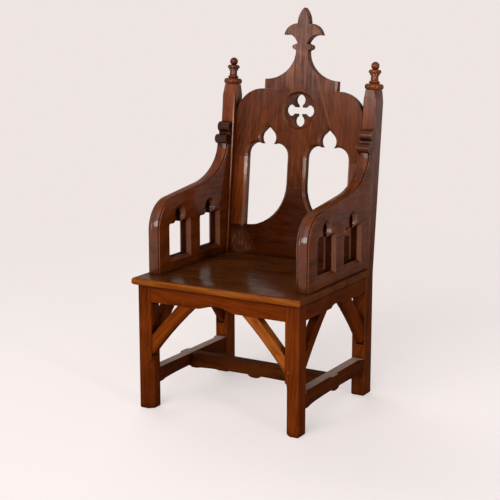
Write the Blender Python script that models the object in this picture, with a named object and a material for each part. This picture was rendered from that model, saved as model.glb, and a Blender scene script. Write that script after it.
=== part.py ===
"""A Gothic oak armchair: braced square legs, pierced arm panels and a tracery back with a carved crest."""

import math

import bmesh
import bpy
from mathutils import Vector

# Sizes are in metres. X runs across the chair, Y from the front legs to the back and Z up from the floor.
# Sizes of the back are measured up the lean of the posts, from the bend just under the seat.

# Fits
FIT = 0.0003  # gap between pieces that touch
EASE = 0.0012  # small bevel on worn edges
OVERCUT = 0.010  # how far a cutter stands clear of what it cuts
NEARLY_STRAIGHT = 0.2  # sine of the turn below which a corner is moved as if it were straight
SMOOTH_LIMIT = math.radians(35)  # sharper edges stay sharp on pieces that are shaded smooth

# Steps along curves, by their size
LONG_STEPS = 10
MID_STEPS = 7
SHORT_STEPS = 5
FINE_STEPS = 4

# Legs and posts
SPAN = 0.586  # outside width across the legs
LEG = 0.048  # side of the square front legs
LEG_CHAMFER = 0.015  # on the inner front corner, below the braces
LEG_CHAMFER_RUNOUT = 0.026
LEG_CHAMFER_GAP = 0.010  # from the end of the run-out up to the ledge of the brace
FOOT_BEVEL = 0.003
POST_WIDTH = 0.048
POST_DEPTH = 0.054
POST_FRONT = 0.470  # from the face of the front legs to the face of the back posts
POST_ARRIS = 0.0025
BEND_DROP = 0.020  # the posts start to lean back this far below the top of the seat
LEAN = math.radians(5.5)
POST_RISE = 0.606  # length of the leaning part of a post
POST_CROWN_CUT = 0.0135  # corners cut off the square top of a post
POST_CROWN_RUNOUT = 0.036

# Finials, turned, by height above the post
FINIAL_TORUS = 0.0315  # radii of the turned members
FINIAL_TORUS_HEIGHT = 0.0205
FINIAL_CORE = 0.0235  # where the rounding of the base ring starts and ends
FINIAL_BEAD = 0.0185
FINIAL_BEAD_HEIGHT = 0.009
FINIAL_NECK = 0.0125
FINIAL_NECK_HEIGHT = 0.018
FINIAL_FILLET = 0.0160
FINIAL_FILLET_HEIGHT = 0.005
FINIAL_RING = 0.0212
FINIAL_RING_HEIGHT = 0.014
FINIAL_BALL = 0.0140
FINIAL_BALL_SEAT = 0.0078  # radius at which the ball leaves the ring
FINIAL_BALL_FLAT = 0.0016  # small flat that turning leaves on top
SPIGOT_RADIUS = 0.009
SPIGOT_LENGTH = 0.028
TURNED_SIDES = 20  # of the round outline of a turned piece

# Seat
SEAT_TOP = 0.440
SEAT_THICK = 0.024
SEAT_FRONT_OVERHANG = 0.0195
SEAT_SIDE_OVERHANG = 0.0125
SEAT_NOSE = 0.0085  # how far the rounded nosing turns in

# Rails under the seat
RAIL_HEIGHT = 0.054
RAIL_THICK = 0.030
FACE_SET = 0.001  # rails and stretchers stand this far in from the faces of the legs
FRONT_ARCH_RISE = 0.0145
FRONT_ARCH_FULLNESS = 1.6  # above 1 the ends of an arch run out flat, below 1 they start upright
SIDE_ARCH_RISE = 0.010
SIDE_ARCH_FULLNESS = 0.4
ARCH_MARGIN = 0.014  # from the end of a brace to the end of the arch
TENON_THICK = 0.012
TENON_LENGTH = 0.020
TENON_SHOULDER = 0.008

# Braces in the corners of the legs and rails
BRACE_LEDGE = 0.179  # height of the ledge in the leg on which the brace stands
BRACE_HOUSING = 0.006  # how deep the brace is let into the leg
BRACE_RUN = 0.159  # from the leg to the lower edge at the rail
BRACE_WIDTH = 0.0445
BRACE_HOLLOW = 0.0055  # how far the lower edge curves in between its ends
BRACE_SET = 0.004  # in from the face of the leg
BRACE_CHAMFER = 0.008
BRACE_WALL = 0.008  # left between the trenches of two braces in one leg

# Stretchers
STRETCHER_LOW = 0.081
STRETCHER_HEIGHT = 0.050
STRETCHER_WIDTH = 0.044
STRETCHER_CHAMFER = 0.011
STRETCHER_ARCH = 0.009  # lift of the lower edge on each side of the middle block
STRETCHER_BLOCK = 0.027  # half length of the middle block, to the full chamfer
STRETCHER_LOBE = 0.024  # half length of the rounded drop under the block
STRETCHER_TENON = 0.022

# Pegs and dowels
PEG_RADIUS = 0.004
FOOT_PEG_RISE = 0.027  # above the ledge of the brace
PEG_BITE = 0.004  # how far a peg runs on past the tenon that it locks
PEG_PROUD = 0.0006
DOWEL_RADIUS = 0.005
DOWEL_DEPTH = 0.022  # on each side of a joint
SEAT_DOWEL_FLOOR = 0.002  # wood left under the dowels in the seat
PIN_SIDES = 10

# Arm panels
ARM_THICK = 0.044
ARM_SET = 0.0005  # in from the outer face of the legs
ARM_FRONT = 0.055  # from the face of the front legs
ARM_RISE = 0.140  # height of the straight front edge above the seat
ARM_CURVE = 0.105  # radius of the turn at the top of the front edge
ARM_SLOPE = 0.125  # slope of the straight stretch of the top edge
ARM_SWEEP_LENGTH = 0.182  # half length of the hollow curve
ARM_SWEEP_HEIGHT = 0.125
ARM_SWEEP_PAST = 0.012  # how far the full curve would run past the line of the posts
ARM_SWEEP_END = -4  # degrees on the hollow curve, where the roll starts
ROLL_RADIUS = 0.0155
ROLL_START = -104  # degrees on the roll, where it leaves the hollow curve
ROLL_END = -315
UPPER_ROLL_RADIUS = 0.0175
UPPER_ROLL_START = -115
UPPER_ROLL_END = -270
UPPER_ROLL_BACK = 0.0212  # upper roll from lower roll
UPPER_ROLL_UP = 0.0402
ARM_GROOVE = 0.0085  # depth of the moulded edge, below the nose
ARM_BEAD = 0.0052  # width of the bead along each face
ARM_BEAD_RISE = 0.0036
ARM_QUIRK = 0.0045  # depth at which the rounded nose starts, beside the groove
ARM_QUIRK_WIDTH = 0.0008

# Windows in the arm panels
WINDOW_FRONT = 0.074  # wood in front of the front window
WINDOW_PIER = 0.0795  # wood between the windows
WINDOW_REAR = 0.0515  # wood between the rear window and the line of the posts
WINDOW_SILL = 0.0415  # height of the sill above the seat
WINDOW_HEIGHT = 0.1055  # from the sill to the corner rounds
WINDOW_CORNER = 0.005
WINDOW_LOBE = 0.019
WINDOW_LOBE_RISE = 0.0325  # middle of the lobe above the corner rounds
WINDOW_LOBE_START = -35  # degrees, where the lobe leaves its neck
WINDOW_NOSE = 0.003  # width of the flat beside the neck
WINDOW_SPLAY = 0.0115

# Back boards
BOARD = 0.028  # thickness
BOARD_SET = 0.016  # behind the face of the posts
TONGUE = 0.012  # thickness of the tongue that runs in the grooves of the posts
TONGUE_DEPTH = 0.010
BACK_CHAMFER = 0.008
STILE = 0.0507  # width of the outer uprights
MULLION = 0.072  # width of the middle upright
MULLION_DROP = 0.0137  # from the top of the lancets' round feet down to the mullion's seam
BASE_HEIGHT = 0.1001  # from the seat to the feet of the lancets
HEAD_LIP = 0.010  # from the springing of the lancets down to the head board's seam
CREST_DROP = 0.010  # from the top of the posts down to the crest's seam
SHOULDER = 0.105  # radius of the rounded shoulders of the head board
SHOULDER_PAST = 0.0013  # how far the full round of a shoulder would run into the post
UPRIGHT_TENON = 0.026  # width of the tenons of the uprights
UPRIGHT_TENON_LENGTH = 0.018

# Lancets, the two big openings of the back
LANCET_SHOULDER = 0.041  # radius of the side lobes
LANCET_LOBE = 0.030  # radius of the top lobe
LANCET_LOBE_RISE = 0.0585  # centre of the top lobe above those of the side lobes
LANCET_TIP = 0.0415  # point of the top lobe above its centre
LANCET_DROP = 0.1675  # from the crest's seam down to the centre of the top lobe
TRIM = 0.004  # uprights are sawn this much over the lancets before these are cut

# Roundel with a pierced four-leaf opening
LEAF_REACH = 0.035  # from the middle to the centre of a leaf
LEAF = 0.020
LEAF_NECK = 0.0105  # half width of the cross that joins the leaves
LEAF_STEPS = 11
ROUNDEL_RIM = 0.0025  # from the leaves to the edge of the dish's floor
ROUNDEL_SLOPE = 0.007  # how far the sides of the dish lean out
ROUNDEL_DEPTH = 0.009
ROUNDEL_MARGIN = 0.005  # from the dish to the crest's seam
ROUNDEL_SIDES = 36

# Crest
CREST_HALF = 0.138
CREST_STEP = 0.033  # height of the square shoulders above the seam
CREST_STEP_CHAMFER = 0.006
CREST_NECK = 0.0225
CREST_NECK_RISE = 0.0975  # height of the hollow sweep
KNOP_REACH = 0.0375
KNOP = 0.009
KNOP_RISE = 0.0129  # from the neck up to the middle of the knop
FLEUR_WAIST = 0.019
FLEUR_WAIST_RISE = 0.0126  # above the middle of the knop
FLEUR_LOBE_X = 0.0715  # tips of the side lobes
FLEUR_LOBE_RISE = 0.027  # above the waist
FLEUR_HOLLOW = 0.012  # how far the edges of the lobes and the petal bow
FLEUR_SWELL = 0.011
FLEUR_PETAL_SWELL = 0.0055
FLEUR_PETAL = 0.022
FLEUR_PETAL_RISE = 0.0393  # above the tips of the side lobes
FLEUR_TIP_RISE = 0.0522  # above the foot of the petal

# Worked out from the sizes above
HALF = SPAN / 2
LEG_INNER = HALF - LEG
POST_INNER = HALF - POST_WIDTH
POST_X = HALF - POST_WIDTH / 2
SEAT_UNDER = SEAT_TOP - SEAT_THICK
BEND = SEAT_TOP - BEND_DROP
RAIL_TOP = SEAT_UNDER - FIT
RAIL_LOW = RAIL_TOP - RAIL_HEIGHT
BRACE_TOP = RAIL_LOW - FIT
BRACE_THICK = LEG - BRACE_HOUSING - BRACE_SET - BRACE_WALL
BRACE_RISE = (BRACE_TOP - BRACE_LEDGE) / (BRACE_RUN + BRACE_HOUSING)
BRACE_ACROSS = BRACE_WIDTH * math.hypot(1, BRACE_RISE)  # width of a brace measured up the leg
BRACE_ALONG = BRACE_ACROSS / BRACE_RISE  # the same along the rail
BRACE_TENON_DEPTH = FACE_SET + RAIL_THICK / 2 - BRACE_SET  # middle of the tenons, behind the brace's face
LEG_CHAMFER_TOP = BRACE_LEDGE - LEG_CHAMFER_GAP - LEG_CHAMFER_RUNOUT
TOP_PEG_LENGTH = (RAIL_THICK + TENON_THICK) / 2 + PEG_BITE  # from the face of a rail
FOOT_PEG_LENGTH = FACE_SET + TOP_PEG_LENGTH  # from the face of a leg
POST_REAR = POST_FRONT + POST_DEPTH
SIDE_MIDDLE = (LEG + POST_FRONT) / 2
STRETCHER_TOP = STRETCHER_LOW + STRETCHER_HEIGHT
SIDE_RAIL_X = HALF - FACE_SET - RAIL_THICK / 2
STRETCHER_X = HALF - FACE_SET - STRETCHER_WIDTH / 2
ARM_OUTER = HALF - ARM_SET
ARM_X = ARM_OUTER - ARM_THICK / 2
SILL_Z = SEAT_TOP + WINDOW_SILL
WINDOW_SHOULDER_Z = SILL_Z + WINDOW_HEIGHT
WINDOW_LOBE_Z = WINDOW_SHOULDER_Z + WINDOW_LOBE_RISE
WINDOW_HALF = (POST_FRONT - ARM_FRONT - WINDOW_FRONT - WINDOW_PIER - WINDOW_REAR) / 4
WINDOW_FIRST = ARM_FRONT + WINDOW_FRONT + WINDOW_HALF
WINDOW_YS = (WINDOW_FIRST, WINDOW_FIRST + 2 * WINDOW_HALF + WINDOW_PIER)
BOARD_MIDDLE = BOARD_SET + BOARD / 2
BOARD_REAR = BOARD_SET + BOARD
BACK_HALF = POST_INNER - FIT
JAMB = BACK_HALF - STILE
STILE_X = BACK_HALF - STILE / 2
LANCET_X = (JAMB + MULLION / 2) / 2
LANCET_HALF = (JAMB - MULLION / 2) / 2

# Levels of the back, up the lean from the bend
SEAT_S = (BEND_DROP + BOARD_SET * math.sin(LEAN)) / math.cos(LEAN)
LANCET_FOOT = SEAT_S + BASE_HEIGHT
LANCET_FOOT_RADIUS = 2 * LANCET_HALF - TRIM
BASE_SEAM = LANCET_FOOT + LANCET_FOOT_RADIUS - MULLION_DROP
CREST_SEAM = POST_RISE - CREST_DROP
LANCET_LOBE_S = CREST_SEAM - LANCET_DROP
LANCET_SPRING = LANCET_LOBE_S - LANCET_LOBE_RISE
HEAD_SEAM = LANCET_SPRING - HEAD_LIP
SHOULDER_S = CREST_SEAM - SHOULDER
SHOULDER_X = BACK_HALF + SHOULDER_PAST - SHOULDER
ROUNDEL_FLOOR = LEAF_REACH + LEAF + ROUNDEL_RIM
ROUNDEL = ROUNDEL_FLOOR + ROUNDEL_SLOPE
ROUNDEL_S = CREST_SEAM - ROUNDEL_MARGIN - ROUNDEL
CREST_STEP_S = CREST_SEAM + CREST_STEP
CREST_NECK_S = CREST_STEP_S + CREST_NECK_RISE
KNOP_S = CREST_NECK_S + KNOP_RISE
FLEUR_WAIST_S = KNOP_S + FLEUR_WAIST_RISE
FLEUR_LOBE_S = FLEUR_WAIST_S + FLEUR_LOBE_RISE
FLEUR_PETAL_S = FLEUR_LOBE_S + FLEUR_PETAL_RISE
FLEUR_TIP = FLEUR_PETAL_S + FLEUR_TIP_RISE

REAR = POST_FRONT + BOARD_REAR * math.cos(LEAN) + FLEUR_TIP * math.sin(LEAN)
MIDDLE_Y = (REAR - SEAT_FRONT_OVERHANG) / 2
SIDES = {-1: "left", 1: "right"}
BRACES = [(kind, side) for kind in ("front", "side_front", "side_rear") for side in SIDES]


# Outlines

def arc(a, b, radius, start, end, steps, radius_b=None):
    """Points of an arc about (a, b), from start to end in degrees, of a circle or an upright ellipse."""
    radius_b = radius_b or radius
    turns = [math.radians(start + (end - start) * i / steps) for i in range(steps + 1)]
    return [(a + radius * math.cos(t), b + radius_b * math.sin(t)) for t in turns]


def quarter_round(across):
    """Height of a quarter circle of radius 1, at this distance from its middle."""
    return math.sqrt(max(1 - across**2, 0))


def bowed(start, end, bow, steps=MID_STEPS):
    """Points of a shallow curve between two points, after the first, bowed to its left by bow."""
    start = Vector(start)
    across = Vector(end) - start
    left = Vector((-across.y, across.x)).normalized()
    points = []
    for i in range(1, steps + 1):
        t = i / steps
        points.append(tuple(start + across * t + left * bow * 4 * t * (1 - t)))
    return points


def mirrored(points):
    """The points followed by their mirror images across the first axis, in the order of a closed outline."""
    return points + [(-a, b) for a, b in reversed(points)]


def inset(outline, amounts):
    """The outline with each edge moved inwards by its own amount. Edge i starts at point i."""
    count = len(outline)
    points = [Vector(p) for p in outline]
    area = sum(points[i - 1].cross(points[i]) for i in range(count))
    sign = 1 if area > 0 else -1
    normals = []
    for i in range(count):
        along = (points[(i + 1) % count] - points[i]).normalized()
        normals.append(Vector((-along.y, along.x)) * sign)
    moved = []
    for i in range(count):
        before, after = normals[i - 1], normals[i]
        shift_before, shift_after = amounts[i - 1], amounts[i]
        turn = before.cross(after)
        if abs(turn) < NEARLY_STRAIGHT:
            mean = (before + after).normalized()
            moved.append(points[i] + mean * (shift_before + shift_after) / 2)
            continue
        x = (shift_before * after.y - shift_after * before.y) / turn
        y = (before.x * shift_after - after.x * shift_before) / turn
        moved.append(points[i] + Vector((x, y)))
    return [tuple(p) for p in moved]


def across_x(outline, x):
    return [Vector((x, a, b)) for a, b in outline]


def across_y(outline, y):
    return [Vector((a, y, b)) for a, b in outline]


def across_z(outline, z):
    return [Vector((a, b, z)) for a, b in outline]


def cut_square(a0, a1, b0, b1, cuts):
    """A rectangle with its corners cut by cuts, in the order a0 b0, a1 b0, a1 b1, a0 b1."""
    c0, c1, c2, c3 = cuts
    return [
        (a0, b0 + c0), (a0 + c0, b0), (a1 - c1, b0), (a1, b0 + c1),
        (a1, b1 - c2), (a1 - c2, b1), (a0 + c3, b1), (a0, b1 - c3),
    ]


def leaned(point):
    """A point given across, behind the posts' faces and up their lean, in the chair's own axes."""
    x, depth, up = point
    y = POST_FRONT + depth * math.cos(LEAN) + up * math.sin(LEAN)
    z = BEND - depth * math.sin(LEAN) + up * math.cos(LEAN)
    return Vector((x, y, z))


def up_the_lean(depth, z):
    """How far up the lean a point at this depth behind the posts' faces reaches height z."""
    return (z - BEND + depth * math.sin(LEAN)) / math.cos(LEAN)


def post_face(z):
    """Y of the front face of the leaning posts at height z."""
    return POST_FRONT + (z - BEND) * math.tan(LEAN)


# Meshes

def loft(bm, rings):
    """Adds a closed body through rings of equally many points, capped at both ends."""
    made = [[bm.verts.new(p) for p in ring] for ring in rings]
    count = len(made[0])
    faces = [bm.faces.new(made[0]), bm.faces.new(made[-1])]
    for low, high in zip(made, made[1:]):
        for i in range(count):
            j = (i + 1) % count
            faces.append(bm.faces.new((low[i], low[j], high[j], high[i])))
    bmesh.ops.recalc_face_normals(bm, faces=faces)


def block(bm, low, high, place=Vector):
    """Adds a box between two corners, put in its place by a function."""
    rings = []
    for z in (low[2], high[2]):
        corners = [(low[0], low[1]), (high[0], low[1]), (high[0], high[1]), (low[0], high[1])]
        rings.append([place((x, y, z)) for x, y in corners])
    loft(bm, rings)


def pin(bm, start, end, radius, sides=PIN_SIDES):
    """Adds a round bar from start to end."""
    start = Vector(start)
    axis = Vector(end) - start
    turn = axis.to_track_quat("Z", "Y")
    rings = []
    for along in (0, axis.length):
        ring = arc(0, 0, radius, 0, 360, sides)[:-1]
        rings.append([start + turn @ Vector((a, b, along)) for a, b in ring])
    loft(bm, rings)


def body(name, *builders):
    """An object whose mesh is filled by functions that each take the bmesh."""
    bm = bmesh.new()
    for build in builders:
        build(bm)
    mesh = bpy.data.meshes.new(name)
    bm.to_mesh(mesh)
    bm.free()
    made = bpy.data.objects.new(name, mesh)
    bpy.context.scene.collection.objects.link(made)
    return made


def combine(piece, tool, operation):
    """Joins the tool to the piece with UNION, or cuts it away with DIFFERENCE."""
    step = piece.modifiers.new("shape", "BOOLEAN")
    step.operation = operation
    step.solver = "EXACT"
    step.object = tool
    shaped = piece.evaluated_get(bpy.context.evaluated_depsgraph_get())
    mesh = bpy.data.meshes.new_from_object(shaped)
    piece.modifiers.clear()
    old = piece.data
    piece.data = mesh
    bpy.data.meshes.remove(old)
    mesh.name = piece.name


def joined(piece, *builders):
    tool = body("tool", *builders)
    combine(piece, tool, "UNION")
    bpy.data.objects.remove(tool)


def carved(piece, *builders):
    tool = body("tool", *builders)
    combine(piece, tool, "DIFFERENCE")
    bpy.data.objects.remove(tool)


def oak(name, colour, roughness):
    made = bpy.data.materials.new(name)
    made.use_nodes = True
    shader = made.node_tree.nodes["Principled BSDF"]
    shader.inputs["Base Color"].default_value = (*colour, 1)
    shader.inputs["Roughness"].default_value = roughness
    shader.inputs["Metallic"].default_value = 0
    return made


def finished(piece, finish, parent, smooth=False):
    """Gives a piece its own copy of a finish and its place in the assembly."""
    own = finish.copy()
    own.name = f"{piece.name}_{finish.name}"
    piece.data.materials.clear()
    piece.data.materials.append(own)
    if smooth:
        piece.data.shade_smooth()
        piece.data.set_sharp_from_angle(angle=SMOOTH_LIMIT)
    piece.parent = parent


# Tenons and their mortises, as boxes that a piece joins and its neighbour is cut by

def root(grow):
    """How far a tenon starts inside its own piece, or its mortise outside the face."""
    return FIT * 2 if grow else OVERCUT


def rail_tenon(side_x, grow):
    """Tenon of the front rail at one end, grown by grow for its mortise."""
    y = FACE_SET + RAIL_THICK / 2
    return lambda bm: tenon_along_x(bm, side_x, LEG_INNER, y, TENON_LENGTH, grow)


def tenon_along_x(bm, side, face_x, y, length, grow):
    reach = face_x + length + grow
    inner = face_x - root(grow)
    xs = sorted((side * inner, side * reach))
    low = (xs[0], y - TENON_THICK / 2 - grow, RAIL_LOW + TENON_SHOULDER - grow)
    high = (xs[1], y + TENON_THICK / 2 + grow, RAIL_TOP - TENON_SHOULDER + grow)
    block(bm, low, high)


def tenon_along_y(bm, side, face_y, toward, grow):
    """Tenon of a side rail. toward is -1 at the front leg and 1 at the post."""
    reach = face_y + toward * (TENON_LENGTH + grow)
    inner = face_y - toward * root(grow)
    x = side * SIDE_RAIL_X
    ys = sorted((inner, reach))
    low = (x - TENON_THICK / 2 - grow, ys[0], RAIL_LOW + TENON_SHOULDER - grow)
    high = (x + TENON_THICK / 2 + grow, ys[1], RAIL_TOP - TENON_SHOULDER + grow)
    block(bm, low, high)


def stretcher_tenon(bm, side, face_y, toward, grow):
    reach = face_y + toward * (STRETCHER_TENON + grow)
    inner = face_y - toward * root(grow)
    x = side * STRETCHER_X
    ys = sorted((inner, reach))
    low = (x - TENON_THICK / 2 - grow, ys[0], STRETCHER_LOW + TENON_SHOULDER - grow)
    high = (x + TENON_THICK / 2 + grow, ys[1], STRETCHER_TOP - TENON_SHOULDER * 2 + grow)
    block(bm, low, high)


def cross_tenon(bm, side, grow):
    face = STRETCHER_X - STRETCHER_WIDTH / 2
    xs = sorted((side * (face - root(grow)), side * (face + TENON_LENGTH + grow)))
    low = (xs[0], SIDE_MIDDLE - TENON_THICK / 2 - grow, STRETCHER_LOW + TENON_SHOULDER * 2 - grow)
    high = (xs[1], SIDE_MIDDLE + TENON_THICK / 2 + grow, STRETCHER_TOP - TENON_SHOULDER * 2 + grow)
    block(bm, low, high)


# Braces are drawn once, out from the leg's face, and set in three kinds of place

def brace_place(side, kind):
    """Puts a brace's point (out from the leg, through its thickness, up) in the chair's axes."""
    def front(p):
        return Vector((side * (LEG_INNER - p[0]), BRACE_SET + p[1], p[2]))

    def side_front(p):
        return Vector((side * (HALF - BRACE_SET - p[1]), LEG + p[0], p[2]))

    def side_rear(p):
        return Vector((side * (HALF - BRACE_SET - p[1]), POST_FRONT - p[0], p[2]))

    return {"front": front, "side_front": side_front, "side_rear": side_rear}[kind]


def brace_outline():
    """A brace with a hollow lower edge, its toe on the ledge in the leg, a plumb heel and a level top."""
    toe = (FIT - BRACE_HOUSING, BRACE_LEDGE + FIT)
    lower = [toe] + bowed(toe, (BRACE_RUN, BRACE_TOP), BRACE_HOLLOW, SHORT_STEPS)
    return lower + [(BRACE_RUN - BRACE_ALONG, BRACE_TOP), (toe[0], toe[1] + BRACE_ACROSS)]


def brace_body(bm, place):
    outline = brace_outline()
    chamfered = inset(outline, [BRACE_CHAMFER] * SHORT_STEPS + [0, EASE, 0])
    rings = []
    for depth, drawn in ((0, chamfered), (BRACE_CHAMFER, outline), (BRACE_THICK, outline)):
        rings.append([place((a, depth, b)) for a, b in drawn])
    loft(bm, rings)


def brace_housing(bm, place):
    """The trench in a leg that takes the foot of a brace."""
    low = (-BRACE_HOUSING, -FIT, BRACE_LEDGE)
    high = (OVERCUT, BRACE_THICK + FIT, BRACE_LEDGE + BRACE_ACROSS + BRACE_RISE * BRACE_HOUSING + FIT * 2)
    block(bm, low, high, place)


def brace_foot_tenon(bm, place, grow):
    half = TENON_THICK / 2 + grow
    low_up = BRACE_LEDGE + TENON_SHOULDER * 2 - grow
    high_up = BRACE_LEDGE + BRACE_ACROSS - TENON_SHOULDER * 2 + grow
    low = (-TENON_LENGTH - grow, BRACE_TENON_DEPTH - half, low_up)
    high = (root(grow) - BRACE_HOUSING, BRACE_TENON_DEPTH + half, high_up)
    block(bm, low, high, place)


def brace_top_tenon(bm, place, grow):
    half = TENON_THICK / 2 + grow
    near = BRACE_RUN - BRACE_ALONG + TENON_SHOULDER - grow
    far = BRACE_RUN - TENON_SHOULDER * 2 + grow
    low = (near, BRACE_TENON_DEPTH - half, BRACE_TOP - root(grow))
    high = (far, BRACE_TENON_DEPTH + half, RAIL_LOW + TENON_LENGTH + grow)
    block(bm, low, high, place)


# Pegs and dowels run along lines, each from the outer end to the inner end

def brace_peg_lines(place):
    """Through the tenons of a brace, from the outer faces of the leg and the rail."""
    foot = BRACE_LEDGE + FOOT_PEG_RISE
    top = RAIL_LOW + TENON_LENGTH / 2
    out = -(BRACE_HOUSING + TENON_LENGTH) / 2
    along = BRACE_RUN - (BRACE_ALONG + TENON_SHOULDER) / 2
    rail_face = FACE_SET - BRACE_SET
    return {
        "foot": (place((out, -BRACE_SET, foot)), place((out, FOOT_PEG_LENGTH - BRACE_SET, foot))),
        "top": (place((along, rail_face, top)), place((along, rail_face + TOP_PEG_LENGTH, top))),
    }


def stretcher_peg_lines(side):
    """Through the tenons of a side stretcher, from the inner faces of the leg and the post."""
    z = (STRETCHER_LOW + STRETCHER_TOP - TENON_SHOULDER) / 2
    lines = {}
    places = {
        "front": (LEG_INNER, LEG - STRETCHER_TENON / 2),
        "rear": (POST_INNER, POST_FRONT + STRETCHER_TENON / 2),
    }
    reach = STRETCHER_X + TENON_THICK / 2 + PEG_BITE
    for end, (face_x, y) in places.items():
        lines[end] = (Vector((side * face_x, y, z)), Vector((side * reach, y, z)))
    return lines


def arm_dowel_lines(side):
    """From the seat and from the post into an arm panel."""
    x = side * ARM_X
    lines = {}
    ys = {"seat_front": ARM_FRONT + ARM_GROOVE + DOWEL_DEPTH, "seat_rear": (WINDOW_YS[0] + WINDOW_YS[1]) / 2}
    for end, y in ys.items():
        low = SEAT_UNDER + SEAT_DOWEL_FLOOR
        lines[end] = (Vector((x, y, low)), Vector((x, y, SEAT_TOP + DOWEL_DEPTH)))
    zs = {"post_low": SILL_Z + WINDOW_CORNER, "post_high": arm_sweep()[1] - ARM_SWEEP_HEIGHT / 2}
    for end, z in zs.items():
        up = up_the_lean(0, z)
        lines[end] = (leaned((x, DOWEL_DEPTH, up)), leaned((x, -DOWEL_DEPTH, up)))
    return lines


def crest_dowel_lines():
    """From the head board up into the crest board."""
    lines = {}
    for side, name in SIDES.items():
        x = side * (CREST_HALF + ROUNDEL) / 2
        low = Vector((x, BOARD_MIDDLE, CREST_SEAM - DOWEL_DEPTH))
        lines[name] = (low, low + Vector((0, 0, DOWEL_DEPTH * 2)))
    return lines


def peg(bm, line):
    start, end = line
    pin(bm, start + (start - end).normalized() * PEG_PROUD, end, PEG_RADIUS)


def dowel(bm, line):
    pin(bm, line[0], line[1], DOWEL_RADIUS)


def peg_holes(bm, lines):
    for start, end in lines.values():
        out = (start - end).normalized()
        pin(bm, start + out * OVERCUT, end - out * FIT, PEG_RADIUS + FIT)


def dowel_holes(bm, lines):
    for start, end in lines.values():
        out = (start - end).normalized()
        pin(bm, start + out * FIT, end - out * FIT, DOWEL_RADIUS + FIT)


# Legs and posts

def front_leg(side):
    """A square leg whose inner front corner is chamfered below the braces, with a curved run-out."""
    def section(z, cut, draw_in=0):
        cuts = (cut, EASE, EASE, EASE)
        outline = cut_square(LEG_INNER + draw_in, HALF - draw_in, draw_in, LEG - draw_in, cuts)
        return [Vector((side * a, b, z)) for a, b in outline]

    rings = [section(0, LEG_CHAMFER, FOOT_BEVEL), section(FOOT_BEVEL, LEG_CHAMFER)]
    for i in range(SHORT_STEPS + 1):
        t = math.radians(90 * i / SHORT_STEPS)
        cut = EASE + (LEG_CHAMFER - EASE) * math.cos(t)
        rings.append(section(LEG_CHAMFER_TOP + LEG_CHAMFER_RUNOUT * math.sin(t), cut))
    rings.append(section(RAIL_TOP, EASE))
    made = body(f"front_leg_{SIDES[side]}", lambda bm: loft(bm, rings))
    carved(
        made,
        rail_tenon(side, FIT),
        lambda bm: tenon_along_y(bm, side, LEG, -1, FIT),
        lambda bm: stretcher_tenon(bm, side, LEG, -1, FIT),
    )
    brace_footings(made, [brace_place(side, kind) for kind in ("front", "side_front")])
    carved(made, lambda bm: peg_holes(bm, stretcher_peg_lines(side)))
    return made


def back_post(side):
    """A rear leg and back post in one, upright to the bend, then leaning, with its top corners cut."""
    def outline(cut, draw_in=0):
        inner_cut = max(cut, POST_ARRIS)
        cuts = (inner_cut, inner_cut, cut, cut)
        return cut_square(POST_INNER + draw_in, HALF - draw_in, draw_in, POST_DEPTH - draw_in, cuts)

    def upright(z, draw_in=0):
        return [Vector((side * a, POST_FRONT + b, z)) for a, b in outline(EASE, draw_in)]

    def sloped(up, cut):
        return [leaned((side * a, b, up)) for a, b in outline(cut)]

    mitre = math.tan(LEAN / 2)
    bend = [Vector((p.x, p.y, BEND - (p.y - POST_FRONT) * mitre)) for p in upright(BEND)]
    rings = [upright(0, FOOT_BEVEL), upright(FOOT_BEVEL), bend]
    rings.append(sloped(POST_RISE - POST_CROWN_RUNOUT, EASE))
    rings.append(sloped(POST_RISE, POST_CROWN_CUT))
    made = body(f"back_post_{SIDES[side]}", lambda bm: loft(bm, rings))
    spigot_top = leaned((side * POST_X, POST_DEPTH / 2, POST_RISE + OVERCUT))
    spigot_low = leaned((side * POST_X, POST_DEPTH / 2, POST_RISE - SPIGOT_LENGTH - FIT))
    back_y = POST_REAR - FACE_SET - RAIL_THICK / 2
    carved(
        made,
        lambda bm: tenon_along_x(bm, side, POST_INNER, back_y, TENON_LENGTH, FIT),
        lambda bm: tenon_along_y(bm, side, POST_FRONT, 1, FIT),
        lambda bm: stretcher_tenon(bm, side, POST_FRONT, 1, FIT),
        lambda bm: pin(bm, spigot_low, spigot_top, SPIGOT_RADIUS + FIT, TURNED_SIDES),
        lambda bm: post_groove(bm, side),
    )
    brace_footings(made, [brace_place(side, "side_rear")])
    carved(made, lambda bm: peg_holes(bm, stretcher_peg_lines(side)))
    carved(made, lambda bm: dowel_holes(bm, arm_dowel_lines(side)))
    return made


def tongue_top():
    """How far up the lean the head board still reaches the posts, where its rounded shoulder starts."""
    return SHOULDER_S + math.sqrt(max(SHOULDER**2 - (BACK_HALF - SHOULDER_X) ** 2, 0)) - TONGUE


def post_groove(bm, side):
    """Groove in a post's inner face for the tongues of the back boards."""
    xs = sorted((side * (POST_INNER - OVERCUT), side * (POST_INNER + TONGUE_DEPTH)))
    low = (xs[0], BOARD_MIDDLE - TONGUE / 2 - FIT, up_the_lean(BOARD_MIDDLE, SEAT_TOP))
    high = (xs[1], BOARD_MIDDLE + TONGUE / 2 + FIT, tongue_top() + FIT)
    block(bm, low, high, leaned)


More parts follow.
